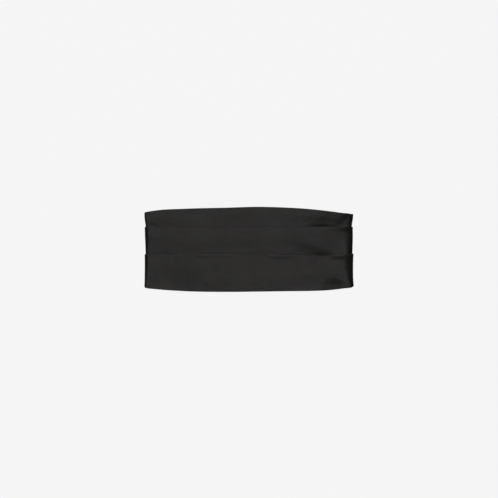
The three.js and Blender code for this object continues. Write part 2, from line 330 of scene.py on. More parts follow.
inner = loop_path(left_roll, right_roll)
outward = outward_of(inner)
pinched = loop_path(left_pinch, right_pinch, left_splay, right_splay)
pinched_outward = outward_of(pinched)
outer_x = inner[:, 0] + stack * outward[:, 0]
faces_up = outward[:, 1] > -tiny
softness = np.clip(outward[:, 1], 0, 1)
middle_line = inner + outward * stack / 2
round_waist = np.concatenate([[0], np.cumsum(np.linalg.norm(np.diff(middle_line, axis=0), axis=1))])
print(len(inner), "places round the waist, over", round(round_waist[-1]), "mm of cloth")

# %% [markdown]
# Where the edges and the pleat lines run
#
# The edges bow a little, and the pleat lines are nearly straight. They could be four curves
# drawn by hand, but then each would have to be moved when the size changes. So a few sections
# across the front give all four lines as shares of its width and height, and a smooth curve
# joins them. Behind, all four run straight to the narrow end.

# %% The four lines
front_sections = [
    # across, top, upper line, lower line, bottom: shares of half the width and of the height
    (-1.00, 0.430, 0.266, -0.056, -0.445),
    (-0.95, 0.445, 0.266, -0.056, -0.460),
    (-0.85, 0.465, 0.266, -0.055, -0.474),
    (-0.62, 0.482, 0.267, -0.052, -0.495),
    (-0.24, 0.495, 0.268, -0.051, -0.504),
    (0.07, 0.505, 0.268, -0.052, -0.500),
    (0.30, 0.497, 0.268, -0.058, -0.496),
    (0.53, 0.479, 0.269, -0.065, -0.492),
    (0.68, 0.459, 0.269, -0.074, -0.484),
    (0.76, 0.447, 0.269, -0.071, -0.474),
    (0.84, 0.433, 0.269, -0.052, -0.461),
    (0.92, 0.426, 0.268, -0.049, -0.452),
    (1.00, 0.420, 0.268, -0.050, -0.438),
]
end_section = (0.487, 0.296, -0.059, -0.507)  # the same four, as shares of the end height


def smooth_through(places, xs, ys):
    """A smooth curve through the given points. Each takes its slope from the ones beside it."""
    slope = np.gradient(ys, xs)
    i = np.clip(np.searchsorted(xs, places) - 1, 0, len(xs) - 2)
    wide = xs[i + 1] - xs[i]
    t = (places - xs[i]) / wide
    a = (1 + 2 * t) * (1 - t) ** 2 * ys[i] + t * (1 - t) ** 2 * wide * slope[i]
    b = t * t * (3 - 2 * t) * ys[i + 1] + t * t * (t - 1) * wide * slope[i + 1]
    return a + b


def line_at(column):
    """How far up one of the four lines is at each place round the waist."""
    table = np.array(front_sections)
    across = np.clip(outer_x / half_width, -1, 1)
    front = smooth_through(across, table[:, 0], table[:, column]) * front_height
    side = np.where(across < 0, table[0, column], table[-1, column]) * front_height
    taper = (half_width - np.abs(outer_x)) / turned_back
    back = mix(side, end_section[column - 1] * end_height, taper)
    return np.where(faces_up, front, back)


top_edge, upper_line, lower_line, bottom_edge = (line_at(column) for column in (1, 2, 3, 4))
scale = (top_edge - bottom_edge) / front_height
print("height at the middle", round((top_edge - bottom_edge)[len(inner) // 2], 1), "mm")

# %% [markdown]
# Dents and undulations
#
# Pressed satin isn't flat. In a few places it was handled, and there a pleat drops away over a
# soft ledge. Everywhere it has a low swell that only shows in the sheen. The dents could be
# sculpted by hand, but a formula keeps them smooth and easy to move. A ledge is a soft step
# down its pleat, as wide as a bell. It may lean, so that its line climbs to one side, and it
# lasts for some way before the cloth has come back up. The swell is a sum of a few seeded
# waves, so that it comes out the same on every run.

# %% Ledges and swell
ledges = [
    # pleat, across, up, lean, wide, tall, sink, lasts. The cloth sinks below the ledge, whose line
    # climbs by lean towards the right, and it has come back up when it is lasts further down.
    ("middle_pleat", 117.0, -7.0, 0.0, 14.0, 5.0, 1.6, 90.0),
    ("middle_pleat", 92.0, 3.0, -0.3, 28.0, 9.0, 1.8, 90.0),
    ("middle_pleat", 161.0, 32.5, 0.0, 12.0, 4.5, 1.5, 26.0),
    ("middle_pleat", 147.0, 32.0, 0.0, 24.0, 8.5, 2.6, 38.0),
    ("middle_pleat", -139.0, -5.0, 0.0, 11.0, 3.5, 0.6, 90.0),
    ("bottom_pleat", 130.5, -54.0, 0.1, 14.5, 7.0, 2.8, 90.0),
    ("bottom_pleat", 116.0, -10.5, 0.0, 17.0, 2.5, 1.1, 20.0),
    ("bottom_pleat", 162.0, -15.0, 0.0, 26.0, 7.5, 1.7, 34.0),
    ("bottom_pleat", -118.0, -24.0, -0.1, 38.0, 22.0, 2.4, 200.0),
    ("bottom_pleat", -73.0, -60.0, 0.0, 9.0, 4.0, 0.4, 90.0),
    ("top_pleat", 158.5, 58.5, 0.3, 13.0, 5.5, 2.5, 50.0),
    ("top_pleat", 137.0, 59.0, 0.1, 34.0, 15.0, 3.9, 200.0),
    ("top_pleat", 117.0, 39.5, 0.0, 24.0, 1.3, 0.8, 20.0),
    ("top_pleat", -152.0, 50.0, 0.3, 14.0, 5.0, 0.6, 90.0),
    ("top_pleat", -162.0, 40.5, 0.5, 4.0, 1.3, 0.5, 20.0),
    ("top_pleat", -153.0, 40.5, -0.6, 4.0, 1.3, 0.5, 20.0),
]
slow_swell = (0.08, 60, 3)  # its height and length in millimetres, and its seed
quick_swells = [(0.06, 24, 8), (0.03, 11, 5)]
liveliness = {
    # how much of the quick swells a pleat has at its left and right, where that starts to change,
    # and over how many millimetres
    "top_pleat": (1.4, 0.5, 70, 50),
    "middle_pleat": (0.6, 1.0, -60, 60),
    "bottom_pleat": (0.6, 1.0, -60, 60),
}
wave_count = 16
wave_lengths = (0.7, 1.7)  # the shortest and the longest, as shares of the length that is asked for


def ease(share):
    """From 0 to 1, slow at both ends."""
    share = np.clip(share, 0, 1)
    return share * share * (3 - 2 * share)


def waves(x, y, length, seed):
    """A smooth field of about unit height, from waves of about the given length."""
    rng = np.random.default_rng(seed)
    total = np.zeros(np.broadcast(x, y).shape)
    for _ in range(wave_count):
        heading = rng.uniform(0, math.pi)
        turn = 2 * math.pi / (length * rng.uniform(*wave_lengths))
        along = x * math.cos(heading) + y * math.sin(heading)
        total += np.cos(along * turn + rng.uniform(0, 2 * math.pi))
    return total / math.sqrt(wave_count / 2)


def lie_of_cloth(pleat, x, y):
    """How far a pleat stands out from its smooth path in front, in millimetres."""
    at_left, at_right, start, over = liveliness[pleat]
    lively = mix(at_left, at_right, ease((x - start) / over))
    height, length, seed = slow_swell
    out = height * waves(x, y, length, seed)
    out = out + lively * sum(height * waves(x, y, length, seed) for height, length, seed in quick_swells)
    for owner, across, up, lean, wide, tall, sink, lasts in ledges:
        if owner == pleat:
            u = (x - across) / wide
            below = up + lean * (x - across) - y
            back = np.maximum(below, 0) / lasts
            out -= sink * np.exp(-u * u - back * back) * (1 + np.tanh(below / tall)) / 2
    return out


print(len(ledges), "ledges, the deepest", max(row[6] for row in ledges), "mm")

# %% [markdown]
# Rolls that are pressed in places
#
# A side roll is full where nobody touched it, and pressed nearly flat towards its top and bottom
# edges. A lattice could bend a finished loop that way, but its hems would bend too. Here the
# loop has two paths, one with full rolls and one with pressed ones. Each list says how much of
# the pressed one is taken at some heights, and a smooth curve joins them.

# %% How far the rolls are pressed
left_pinches = [
    # up and how far the roll is pressed
    (-72, 1.0),
    (-64, 0.95),
    (-44, 0.6),
    (-24, 0.25),
    (-4, 0.3),
    (14, 0.1),
    (30, 0.15),
    (44, 0.5),
    (58, 0.9),
    (66, 1.0),
]
right_pinches = [
    (-72, 1.0),
    (-64, 0.85),
    (-45, 0.45),
    (-24, 0.25),
    (-4, 0.35),
    (14, 0.2),
    (30, 0.05),
    (42, 0.1),
    (58, 0.55),
    (66, 0.65),
]
pinch_change = 100  # how far to each side of the middle one list gives way to the other


def pinch_at(x, y):
    """How far a side roll is pressed towards its tight form, from 0 to 1."""
    both = (left_pinches, right_pinches)
    left, right = (np.clip(smooth_through(y, *np.array(pinches, float).T), 0, 1) for pinches in both)
    return mix(left, right, ease((x + pinch_change) / (2 * pinch_change)))


halfway_up = float(pinch_at(half_width, 0.0))
print("halfway up, the right roll is pressed by", round(halfway_up, 2), "of the way")

# %% [markdown]
# The satin
#
# Satin is woven with long floats, so it shines more along one way than a plain cloth, and close
# up it shows fine streaks. A photograph of cloth could be laid over it, but that would blur close
# up and repeat. So each mark is a noise that is stretched along the thread. The colour hardly
# matters in a black. What matters is a soft broad gloss, fine streaks in the surface, and a
# slight clouding where the finish has been rubbed.

# %% Nodes for woven finishes
def new_material(name):
    material = bpy.data.materials.new(name)
    return material, plain_tree(material)


def new_skin(tree, gloss, colour, roughness, relief, sheen=0.0):
    """The shader that the light meets. Its last four values say what each place is like."""
    looks = {"Base Color": colour, "Roughness": roughness, "Normal": relief}
    even = {"Specular IOR Level": gloss, "Sheen Weight": sheen}
    skin = new_node(tree, "ShaderNodeBsdfPrincipled", {**looks, **even})
    new_node(tree, "ShaderNodeOutputMaterial", {"Surface": skin.outputs[0]})


def noise(tree, along, across, detail):
    """A noise on the cloth, with so many lumps to a metre of its length and of its width."""
    where = new_node(tree, "ShaderNodeUVMap", {}, uv_map="cloth")
    stretch = {0: where.outputs[0], "Scale": (along, across, 1)}
    mapping = new_node(tree, "ShaderNodeMapping", stretch)
    lumps = {"Vector": mapping.outputs[0], "Scale": 1.0, "Detail": detail}
    return new_node(tree, "ShaderNodeTexNoise", lumps).outputs["Fac"]


def combined(tree, operation, first, second):
    """Two values added or multiplied."""
    return new_node(tree, "ShaderNodeMath", {0: first, 1: second}, operation=operation).outputs[0]


def bumped(tree, height, depth, before=None):
    """Relief that is depth high in metres, on top of the relief before it."""
    sockets = {"Height": height, "Strength": 1.0, "Distance": depth}
    if before:
        sockets["Normal"] = before
    return new_node(tree, "ShaderNodeBump", sockets).outputs[0]


def shaded(tree, tone, amount):
    """A colour that is made lighter and darker by a value round 1."""
    sockets = {"Factor": 1.0, "A": (*tone, 1), "B": amount}
    colour = new_node(tree, "ShaderNodeMix", sockets, data_type="RGBA", blend_type="MULTIPLY")
    return colour.outputs["Result"]


print("a noise on the cloth follows its own map, in real metres")

# %% The satin's finish
satin_tone = (0.009, 0.0086, 0.0083)
satin_noises = [
    # lumps to a metre along and across, and detail: the grain, the clouds, the floats, the slubs
    (700, 700, 2.0),
    (34, 45, 3.0),
    (420, 5200, 1.0),
    (35, 1500, 2.0),
]
grain_depth, float_depth, slub_depth = 0.00007, 0.00004, 0.00003  # metres
grain_tones, cloud_tones = (0.55, 1.45), (0.85, 1.15)
cloud_wear = 0.03  # how much the clouds change the roughness


def satin_finish(name, grain_wear, gloss, roughness):
    """grain_wear is how much the grain changes the roughness."""
    material, tree = new_material(name)
    grain, clouds, floats, slubs = (noise(tree, *row) for row in satin_noises)
    grain_tone = ranged(tree, grain, *grain_tones)
    cloud_tone = ranged(tree, clouds, *cloud_tones)
    colour = shaded(tree, satin_tone, combined(tree, "MULTIPLY", grain_tone, cloud_tone))
    rubbed = ranged(tree, grain, -grain_wear, grain_wear)
    clouded = ranged(tree, clouds, roughness - cloud_wear, roughness + cloud_wear)
    streaks = bumped(tree, slubs, slub_depth, bumped(tree, floats, float_depth))
    relief = bumped(tree, grain, grain_depth, streaks)
    new_skin(tree, gloss, colour, combined(tree, "ADD", rubbed, clouded), relief)
    return material


satin = satin_finish("black satin", grain_wear=0.1, gloss=0.46, roughness=0.45)
pressed_satin = satin_finish("pressed black satin", grain_wear=0.05, gloss=0.4, roughness=0.52)
print("satins:", satin.name, "and", pressed_satin.name)

# %% [markdown]
# Webbing and thread
#
# The straps are dull elastic webbing. Its ribs are wide enough to be modelled, so the finish adds
# only the fine picks that cross them and a little fuzz, with a faint sheen from that fuzz. The
# thread is a little shinier, and its noise is drawn out along it, as its fibres are.

# %% The finishes of webbing and thread
webbing_tone = (0.011, 0.011, 0.011)
webbing_gloss, webbing_sheen = 0.3, 0.15
pick_noise, fuzz_noise = (1900, 260, 1.0), (2600, 2600, 3.0)
pick_roughness, fuzz_tones = (0.62, 0.84), (0.7, 1.4)
pick_depth, fuzz_depth = 0.00016, 0.00005
thread_tone = (0.016, 0.0155, 0.015)
thread_gloss = 0.45
twist_noise = (1500, 3500, 1.0)
twist_roughness, twist_tones = (0.38, 0.6), (0.7, 1.3)
twist_depth = 0.00005


def webbing_finish():
    material, tree = new_material("black webbing")
    picks = noise(tree, *pick_noise)
    fuzz = noise(tree, *fuzz_noise)
    colour = shaded(tree, webbing_tone, ranged(tree, fuzz, *fuzz_tones))
    relief = bumped(tree, fuzz, fuzz_depth, bumped(tree, picks, pick_depth))
    roughness = ranged(tree, picks, *pick_roughness)
    new_skin(tree, webbing_gloss, colour, roughness, relief, webbing_sheen)
    return material


def thread_finish():
    material, tree = new_material("black thread")
    twist = noise(tree, *twist_noise)
    colour = shaded(tree, thread_tone, ranged(tree, twist, *twist_tones))
    roughness = ranged(tree, twist, *twist_roughness)
    new_skin(tree, thread_gloss, colour, roughness, bumped(tree, twist, twist_depth))
    return material


webbing = webbing_finish()
thread = thread_finish()
print("sewn on:", webbing.name, "and", thread.name)

# %% [markdown]
# The clasp's enamel
#
# Baked enamel on metal is smooth, but never quite flat. It is rubbed paler along its edges, and
# duller in patches. The waves and the rubs are noises in the plate's own space, since a plate
# has no weave to follow. Pointiness, which tells edges from flats, gives the paler rims.

# %% The enamel's finish
enamel_tone = (0.012, 0.012, 0.0125)
enamel_gloss = 0.5
enamel_noises = [(420.0, 2.0), (150.0, 6.0)]  # how fine and in what detail: the waves and the rubs
wave_depth = 0.00002
rub_roughness = (0.2, 0.36)
edge_start, edge_stop = 0.52, 0.6  # how pointed a place is where the edge starts, and where it is full
edge_paler = 2.6  # how many times paler the edge is than the flats


def enamel_finish():
    material, tree = new_material("black enamel")
    where = new_node(tree, "ShaderNodeTexCoord", {}).outputs["Object"]
    lumps = [{"Vector": where, "Scale": fine, "Detail": detail} for fine, detail in enamel_noises]
    waviness, rubs = (new_node(tree, "ShaderNodeTexNoise", row).outputs["Fac"] for row in lumps)
    edges = new_node(tree, "ShaderNodeNewGeometry", {}).outputs["Pointiness"]
    colour = shaded(tree, enamel_tone, ranged(tree, edges, 1.0, edge_paler, edge_start, edge_stop))
    relief = bumped(tree, waviness, wave_depth)
    new_skin(tree, enamel_gloss, colour, ranged(tree, rubs, *rub_roughness), relief)
    return material


enamel = enamel_finish()
print("on the clasp:", enamel.name)

# %% [markdown]
# From a grid of points to a piece of cloth
#
# Every soft piece is a grid: one way runs with the thread, the other across it. The grid is the
# middle of the cloth, and a Solidify modifier gives it both faces and its cut edges. Its UV map
# is in real metres, so the weave keeps its size and turns with the cloth.

# %% Grid to cloth
def lengths_along(points, axis):
    """How far along its line each point is."""
    step = np.linalg.norm(np.diff(points, axis=axis), axis=2)
    start = np.zeros_like(step.take([0], axis=axis))
    return np.concatenate([start, np.cumsum(step, axis=axis)], axis=axis)


def new_mesh(name, points, faces, spread, material):
    """A smooth mesh from points in millimetres. spread lays each corner of each face out flat."""
    mesh = bpy.data.meshes.new(name)
    mesh.from_pydata((points.reshape(-1, 3) * mm).tolist(), [], faces)
    laid_out = (np.array(spread) * mm).astype(np.float32).ravel()
    mesh.uv_layers.new(name="cloth").uv.foreach_set("vector", laid_out)
    mesh.materials.append(material)
    mesh.polygons.foreach_set("use_smooth", [True] * len(faces))
    return mesh


def grid_faces(u, v, v_next, wrap, first=0):
    """The faces of a grid, and their corners laid out flat. u is by row, v and v_next by point."""
    rows, columns = v.shape
    faces, spread = [], []
    for i in range(rows - 1):
        here, there = first + i * columns, first + (i + 1) * columns
        for j in range(columns if wrap else columns - 1):
            k = (j + 1) % columns
            faces.append((here + j, here + k, there + k, there + j))
            spread += [(u[i], v[i, j]), (u[i], v_next[i, j])]
            spread += [(u[i + 1], v_next[i + 1, j]), (u[i + 1], v[i + 1, j])]
    return faces, spread


def cloth_from_grid(name, points, thickness, material, wrap=False):
    """points is rows by columns by 3, in millimetres. wrap joins the last column to the first."""
    u = lengths_along(points, 0).mean(1)
    v = lengths_along(points, 1)
    v_next = v + np.linalg.norm(np.roll(points, -1, 1) - points, axis=2)
    faces, spread = grid_faces(u, v, v_next, wrap)
    piece = placed(name, new_mesh(name, points, faces, spread, material))
    wall = piece.modifiers.new("cloth wall", "SOLIDIFY")
    wall.thickness = thickness * mm
    wall.offset = 0
    wall.use_even_offset = True
    return piece


def settle(piece, node):
    """The piece joins the root body and takes over from its CAD solid, which is hidden."""
    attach(piece, "root")
    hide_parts(node)


print("cloth walls of", cloth, "mm in the pleats and", band_cloth, "mm in the end bands")

# %% [markdown]
# The pleats
#
# A pleat here is a band of satin folded over at its pleat line. It starts behind, runs up to the
# line, turns over it and comes down in front, and then goes on under the next pleat. The top and
# bottom edges are turned in as hems. Across its width it is therefore a line of points, y up the
# front and n out of it, built from a few runs and folds.

# %% Runs and folds across a pleat
fold_points = 11


def level_of(ply):
    """How far out the middle of a ply is. The loop has three, counted from the inside."""
    return cloth / 2 + ply * (cloth + ply_gap)


def column(values):
    """One value, or one for each place round the waist, as a column."""
    return np.broadcast_to(np.asarray(values, float), scale.shape)[:, None]


def single(y, n):
    return column(y), column(n)


def run(from_y, from_n, to_y, to_n, steps, shape=None):
    """Points from one place to another, without the first. shape turns a share of y into one of n."""
    share = (np.arange(steps) + 1)[None, :] / steps
    y = mix(column(from_y), column(to_y), share)
    n = mix(column(from_n), column(to_n), shape(share) if shape else share)
    return y, n


def fold(edge, facing, from_n, to_n):
    """A rounded fold whose outside touches y = edge."""
    reach = np.abs(np.asarray(to_n) - from_n) / 2
    centre = column(edge) - facing * (column(reach) + cloth / 2)
    angle = (np.linspace(0, 1, fold_points)[None, :] - 0.5) * math.pi
    y = centre + facing * column(reach) * np.cos(angle)
    n = mix(column(from_n), column(to_n), (1 + np.sin(angle)) / 2)
    return y, n


def begin(part):
    """The first point of a part, at each place round the waist."""
    return part[0][:, 0], part[1][:, 0]


def end(part):
    """And the last one."""
    return part[0][:, -1], part[1][:, -1]


def joined(*parts):
    """One line from several parts, each place taken once."""
    y = np.concatenate([part[0] for part in parts], 1)
    n = np.concatenate([part[1] for part in parts], 1)
    moved = np.abs(np.diff(y)).max(0) + np.abs(np.diff(n)).max(0) > tiny
    keep = np.concatenate([[True], moved])
    return y[:, keep], n[:, keep]


print("the loop's plies lie at", [round(level_of(ply), 2) for ply in range(3)], "mm")

# %% [markdown]
# Folds that swell
#
# The folds at the pleat lines aren't pressed dead. Each swells a little, more in some places than
# in others, and the swelling makes the fine light lip along the line. An even roll of cloth
# would draw the same lip everywhere. So each line has a short list of how much it swells from
# left to right, with a slow wander on top, and the pleat's face starts from that height.

# %% Swelling along the pleat lines
upper_lip = [
    # across and height of the swelling
    (-170, 0.0),
    (-150, 0.1),
    (-60, 0.0),
    (60, 0.05),
    (115, 0.0),
    (142, 0.05),
    (158, 0.2),
    (165, 0.1),
]
lower_lip = [
    (-165, 0.0),
    (-105, 0.1),
    (-88, 0.4),
    (-75, 0.6),
    (-40, 0.55),
    (-26, 0.1),
    (12, 0.05),
    (24, 0.6),
    (45, 0.75),
    (66, 0.5),
    (82, 0.0),
    (128, 0.0),
    (137, 0.7),
    (160, 0.6),
]
upper_seed, lower_seed = 21, 34
swell_wander, wander_length = 0.07, 23
swell_most = 1.3
swell_fades = 4.2  # how far below its highest place the swelling dies away
soft_fold = 2.6  # from the line to the highest place of a fold that swells fully
soft_swell = 0.9  # the swelling that gives it that length
slope_start = 0.4  # how steeply the swelling starts at the line
slope_reach = 0.45  # and how soon it levels off
under_points, over_points = 6, 11
crown = 0.15  # how far a pleat's face bellies out between its lines
early = 4  # how far above the end of its hidden part a face starts to sink


def glide(share):
    """Nearly even, with only a little easing at its ends."""
    return (ease(share) + 2 * np.clip(share, 0, 1)) / 3


def fold_swell(knots, seed):
    """How much a pleat line's fold swells at each place of the front."""
    across, height = np.array(knots).T
    wander = swell_wander * waves(round_waist, 0 * round_waist, wander_length, seed)
    return np.clip(np.interp(inner[:, 0], across, height) + wander, 0, swell_most) * softness


def swollen_fold(line, swell):
    """A fold at a pleat line: round underneath, and a slope up to where it swells the most."""
    half_ply = (level_of(2) - level_of(1)) / 2
    centre = column(line) - cloth / 2 - half_ply
    angle = (np.linspace(0, 0.5, under_points)[None, :] - 0.5) * math.pi
    under_y = centre + half_ply * np.cos(angle)
    under_n = level_of(1) + half_ply * (1 + np.sin(angle)) + 0 * centre
    share = np.linspace(0, 1, over_points)[None, 1:]
    away = mix(half_ply, soft_fold, np.clip(column(swell) / soft_swell, 0, 1))
    over_y = centre + half_ply - away * (3 * share**2 * (1 - share) * (1 - slope_reach) + share**3)
    rise = 3 * share * (1 - share) ** 2 * slope_start + 3 * share**2 * (1 - share) + share**3
    over_n = level_of(1) + half_ply + (half_ply + column(swell)) * rise
    return np.concatenate([under_y, over_y], 1), np.concatenate([under_n, over_n], 1)


def face(start, swell, low, reach, end_ply, steps):
    """A pleat's visible face, from the end of its fold down to where the next pleat covers it."""
    share = (np.arange(steps) + 1)[None, :] / steps
    y = mix(column(start[0]), column(reach), share)
    below = (column(start[0]) - y) / swell_fades
    clear = glide((column(low) + early - y) / (column(low) + early - column(reach)))
    n = mix(level_of(2), level_of(end_ply), clear)
    n = n + column(swell) * np.exp(-below * below) + crown * column(softness) * np.sin(share * math.pi)
    return y, n


upper_swell = fold_swell(upper_lip, upper_seed)
lower_swell = fold_swell(lower_lip, lower_seed)
print("the folds swell by up to", round(upper_swell.max(), 2), "and", round(lower_swell.max(), 2), "mm")

# %% [markdown]
# Three sections, swept round the waist
#
# A curve with a bevel could sweep a section, but it would keep the same section all the way.
# These sections narrow towards the ends, swell and dent, so the sweep is worked out in code: at
# each place on the path the section is set up on the path's own outward direction.

# %% The sections of the three pleats
underlap = 20.0  # how far a pleat runs on under the next one
hem = 9.0  # how much of an edge is turned in
hem_clear = 1.6  # how far from the hem's end the face has come out over it
line_clear = 1.5  # how far above the pleat line the top pleat starts to come forward
hidden_steps = 8
hem_steps, hem_face_steps = 5, 9
top_steps, middle_steps, bottom_steps = 10, 40, 34


def hemmed(from_y, from_n, edge, facing):
    """Straight on to the hem's fold, over it, and back along the inside."""
    turn = fold(edge, facing, level_of(1), level_of(0))
    hem_end = edge - facing * hem * scale
    return [
        run(from_y, from_n, *begin(turn), hem_face_steps),
        turn,
        run(*end(turn), hem_end, level_of(0), hem_steps),
    ]


def return_and_fold(line, low, swell):
    """The hidden part of a pleat: up behind its own face, and over the fold at its line."""
    turn = swollen_fold(line, swell)
    return [single(low, level_of(1)), run(low, level_of(1), *begin(turn), hidden_steps), turn]


def top_pleat_points():
    low = upper_line - underlap * scale
    behind = upper_line + line_clear
    eased = top_edge - hem * scale - hem_clear
    return joined(
        single(low, level_of(0)),
        run(low, level_of(0), behind, level_of(0), hidden_steps),
        run(behind, level_of(0), eased, level_of(1), top_steps, glide),
        *hemmed(eased, level_of(1), top_edge, 1),
    )


def middle_pleat_points():
    low = upper_line - underlap * scale
    start = return_and_fold(upper_line, low, upper_swell)
    return joined(
        *start,
        face(end(start[-1]), upper_swell, low, lower_line, 0, middle_steps),
        run(lower_line, level_of(0), lower_line - underlap * scale, level_of(0), hidden_steps),
    )


def bottom_pleat_points():
    low = lower_line - underlap * scale
    start = return_and_fold(lower_line, low, lower_swell)
    eased = bottom_edge + hem * scale + hem_clear
    return joined(
        *start,
        face(end(start[-1]), lower_swell, low, eased, 1, bottom_steps),
        *hemmed(eased, level_of(1), bottom_edge, -1),
    )


sections = {
    "top_pleat": top_pleat_points(),
    "middle_pleat": middle_pleat_points(),
    "bottom_pleat": bottom_pleat_points(),
}
print("points across the pleats:", [y.shape[1] for y, n in sections.values()])

# %% Sweep the pleats round the waist
def sweep(node, y, n):
    """Stands a pleat's section up at each place round the waist, and joins them into cloth."""
    across = inner[:, :1] + 0 * y
    out = n + softness[:, None] * lie_of_cloth(node, across, y)
    pinch = pinch_at(across, y)[:, :, None]
    start = mix(inner[:, None], pinched[:, None], pinch)
    facing = mix(outward[:, None], pinched_outward[:, None], pinch)
    facing /= np.linalg.norm(facing, axis=2, keepdims=True)
    section = start + out[:, :, None] * facing
    points = np.stack([section[..., 0], y, section[..., 1]], 2)
    return cloth_from_grid(node + "_satin", points, cloth, satin)


for node, (y, n) in sections.items():
    settle(sweep(node, y, n), node)

# %% [markdown]
# The end bands
#
# Each end of the pleats is caught in a folded band of the same satin. It could be a box with
# rounded edges, but then it would look like a box. So it is made as the flattened tube that it
# is: a ring of points round the band at each place along it, which starts at the hem inside the
# mouth, goes over the mouth's edge, along the outside and over the other edge into the far hem.
# The top ply drapes over what the band holds, which is the pleats, the strap or nothing.

# %% How an end band drapes
band_length = 24.0
band_overhang = 1.2  # past the pleats at the top and at the bottom
strap_width = 25.0
strap_wall = 1.3
strap_grip = 9.0  # how much of the strap is inside the band
stitch_inset = 2.0  # from a band's edge to its row of stitches
beside_strap, strap_drape = 4.5, 4.0  # the ply is down this far beside the strap, over this much
before_pleats = 0.5  # how far before the pleats' ends the ply is up on them
pucker, pucker_length, pucker_seed = 0.05, 8, 55
pucker_lift = 1.8  # how many puckers high the ply stands, so that none dips into what it lies on
stitch_dip, dip_reach = 0.12, 0.7  # how deep a row of stitches pulls the ply in, and how far beside it

end_middle = (end_section[0] + end_section[3]) / 2 * end_height
band_width = (end_section[0] - end_section[3]) * end_height + 2 * band_overhang
band_mouth = end_x + band_grip
band_shut = band_mouth - band_length
strap_end = band_shut + strap_grip
strap_in_band = hem_top + snug + strap_wall / 2
stitch_rows = (band_shut + stitch_inset, band_mouth - stitch_inset)


def over(top):
    """The middle of the band's top ply where it lies on something."""
    return top + snug + band_cloth / 2 + band_ply


def band_top(x, y):
    """How high the top ply is. y is measured from the band's middle."""
    beside = ease((strap_width / 2 + beside_strap - np.abs(y)) / strap_drape)
    level = mix(band_low + 3 * band_ply, over(strap_in_band + strap_wall / 2), beside)
    onto_pleats = (x - strap_end) / (end_x - before_pleats - strap_end)
    level = mix(level, over(end_level), ease(onto_pleats))
    level = level + pucker * (pucker_lift + waves(x + 0 * y, y, pucker_length, pucker_seed))
    for row in stitch_rows:
        level = level - stitch_dip * np.exp(-(((x - row) / dip_reach) ** 2))
    return level


print("an end band is", band_length, "by", round(band_width, 1), "mm")

# %% Rings of cloth round a band
band_hem = 4.0  # how much of each edge is turned in
band_bend = 1.0  # how round the folds at its top and bottom are
flat_points, bend_points = 61, 9
mouth_points, band_hem_points, outside_points = 7, 6, 46


def band_ring(x, inset):
    """The band's middle line round one section, as y and z, set in from its outer ply."""
    across = band_width / 2 - band_cloth / 2 - inset
    low = band_low + inset
    high = float(band_top(x, np.array([across]))[0]) - inset
    flat = np.linspace(band_bend - across, across - band_bend, flat_points)
    turn = np.linspace(-math.pi / 2, math.pi / 2, bend_points)[1:-1]
    bend_y = across - band_bend + band_bend * np.cos(turn)
    bend_z = (low + high) / 2 + (high - low) / 2 * np.sin(turn)
    y = np.concatenate([flat, bend_y, flat[::-1], -bend_y[::-1]])
    z = np.concatenate([0 * flat + low, bend_z, band_top(x, flat[::-1]) - inset, bend_z[::-1]])
    return y, z


def band_points():
    """Rings from the hem in the mouth, over the outside, to the hem in the shut end."""
    edge = band_ply / 2
    turn = np.linspace(-math.pi / 2, math.pi / 2, mouth_points)
    over_edge = edge * np.cos(turn) - edge - band_cloth / 2
    deep = edge * (1 - np.sin(turn))
    inside = np.linspace(-band_hem, over_edge[0], band_hem_points)[:-1]
    outside = np.linspace(band_mouth + over_edge[-1], band_shut - over_edge[-1], outside_points)[1:-1]
    x = [band_mouth + inside, band_mouth + over_edge, outside]
    x += [band_shut - over_edge[::-1], band_shut - inside[::-1]]
    inset = [0 * inside + band_ply, deep, 0 * outside, deep[::-1], 0 * inside + band_ply]
    points = []
    for place, depth in zip(np.concatenate(x), np.concatenate(inset)):
        y, z = band_ring(place, depth)
        points.append(np.stack([0 * y + place, y + end_middle, z], 1))
    return np.array(points)


def on_side(points, side):
    """The left fastening pieces are the right ones turned half round."""
    if side == "right":
        return points
    turned = np.array(points, float)
    turned[..., 0] *= -1
    turned[..., 1] = 2 * end_middle - turned[..., 1]
    return turned


sides = ("left", "right")
right_band = band_points()
for side in sides:
    node = side + "_end_band"
    band = cloth_from_grid(node + "_satin", on_side(right_band, side), band_cloth, pressed_satin, wrap=True)
    settle(band, node)

# %% [markdown]
# Stitches
#
# A row of stitches is what tells the eye how big a sewn thing is. Each stitch is a short length
# of thread that comes out of the cloth, bows over it and goes in again. One stitch is a small
# tube of a few rings, and a whole row of them is worked out at once and joined into one mesh.

# %% Stitches as small tubes
thread_radius = 0.17
thread_rings, thread_sides = 7, 6
thread_bow = 0.3  # how far a stitch's middle stands above its ends
thread_pull = 0.75  # how thick it still is at its ends
ring_step, side_step = 0.4, 0.18  # how much thread there is from ring to ring and from side to side


def mend(mesh, lift=0.0, weld=0.0):
    """Lifts a mesh, welds points that are closer than weld, and turns its faces outwards."""
    shell = bmesh.new()
    shell.from_mesh(mesh)
    if lift:
        bmesh.ops.translate(shell, verts=shell.verts, vec=(0, 0, lift))
    if weld:
        bmesh.ops.remove_doubles(shell, verts=shell.verts, dist=weld)
    bmesh.ops.recalc_face_normals(shell, faces=shell.faces)
    shell.to_mesh(mesh)
    shell.free()


def closed_piece(name, points, faces, spread, material):
    mesh = new_mesh(name, points, faces, spread, material)
    mend(mesh)
    return placed(name, mesh)


def tube_faces(u, v, v_next, cap_spread, first=0):
    """The faces round a tube, and a cap at each end. v and v_next are the same for every row."""
    shape = (len(u), len(v))
    faces, spread = grid_faces(u, np.broadcast_to(v, shape), np.broadcast_to(v_next, shape), True, first)
    order = range(len(v))
    for base, corners in ((first, order[::-1]), (first + (len(u) - 1) * len(v), order)):
        faces.append(tuple(base + j for j in corners))
        spread += [cap_spread[j] for j in corners]
    return faces, spread


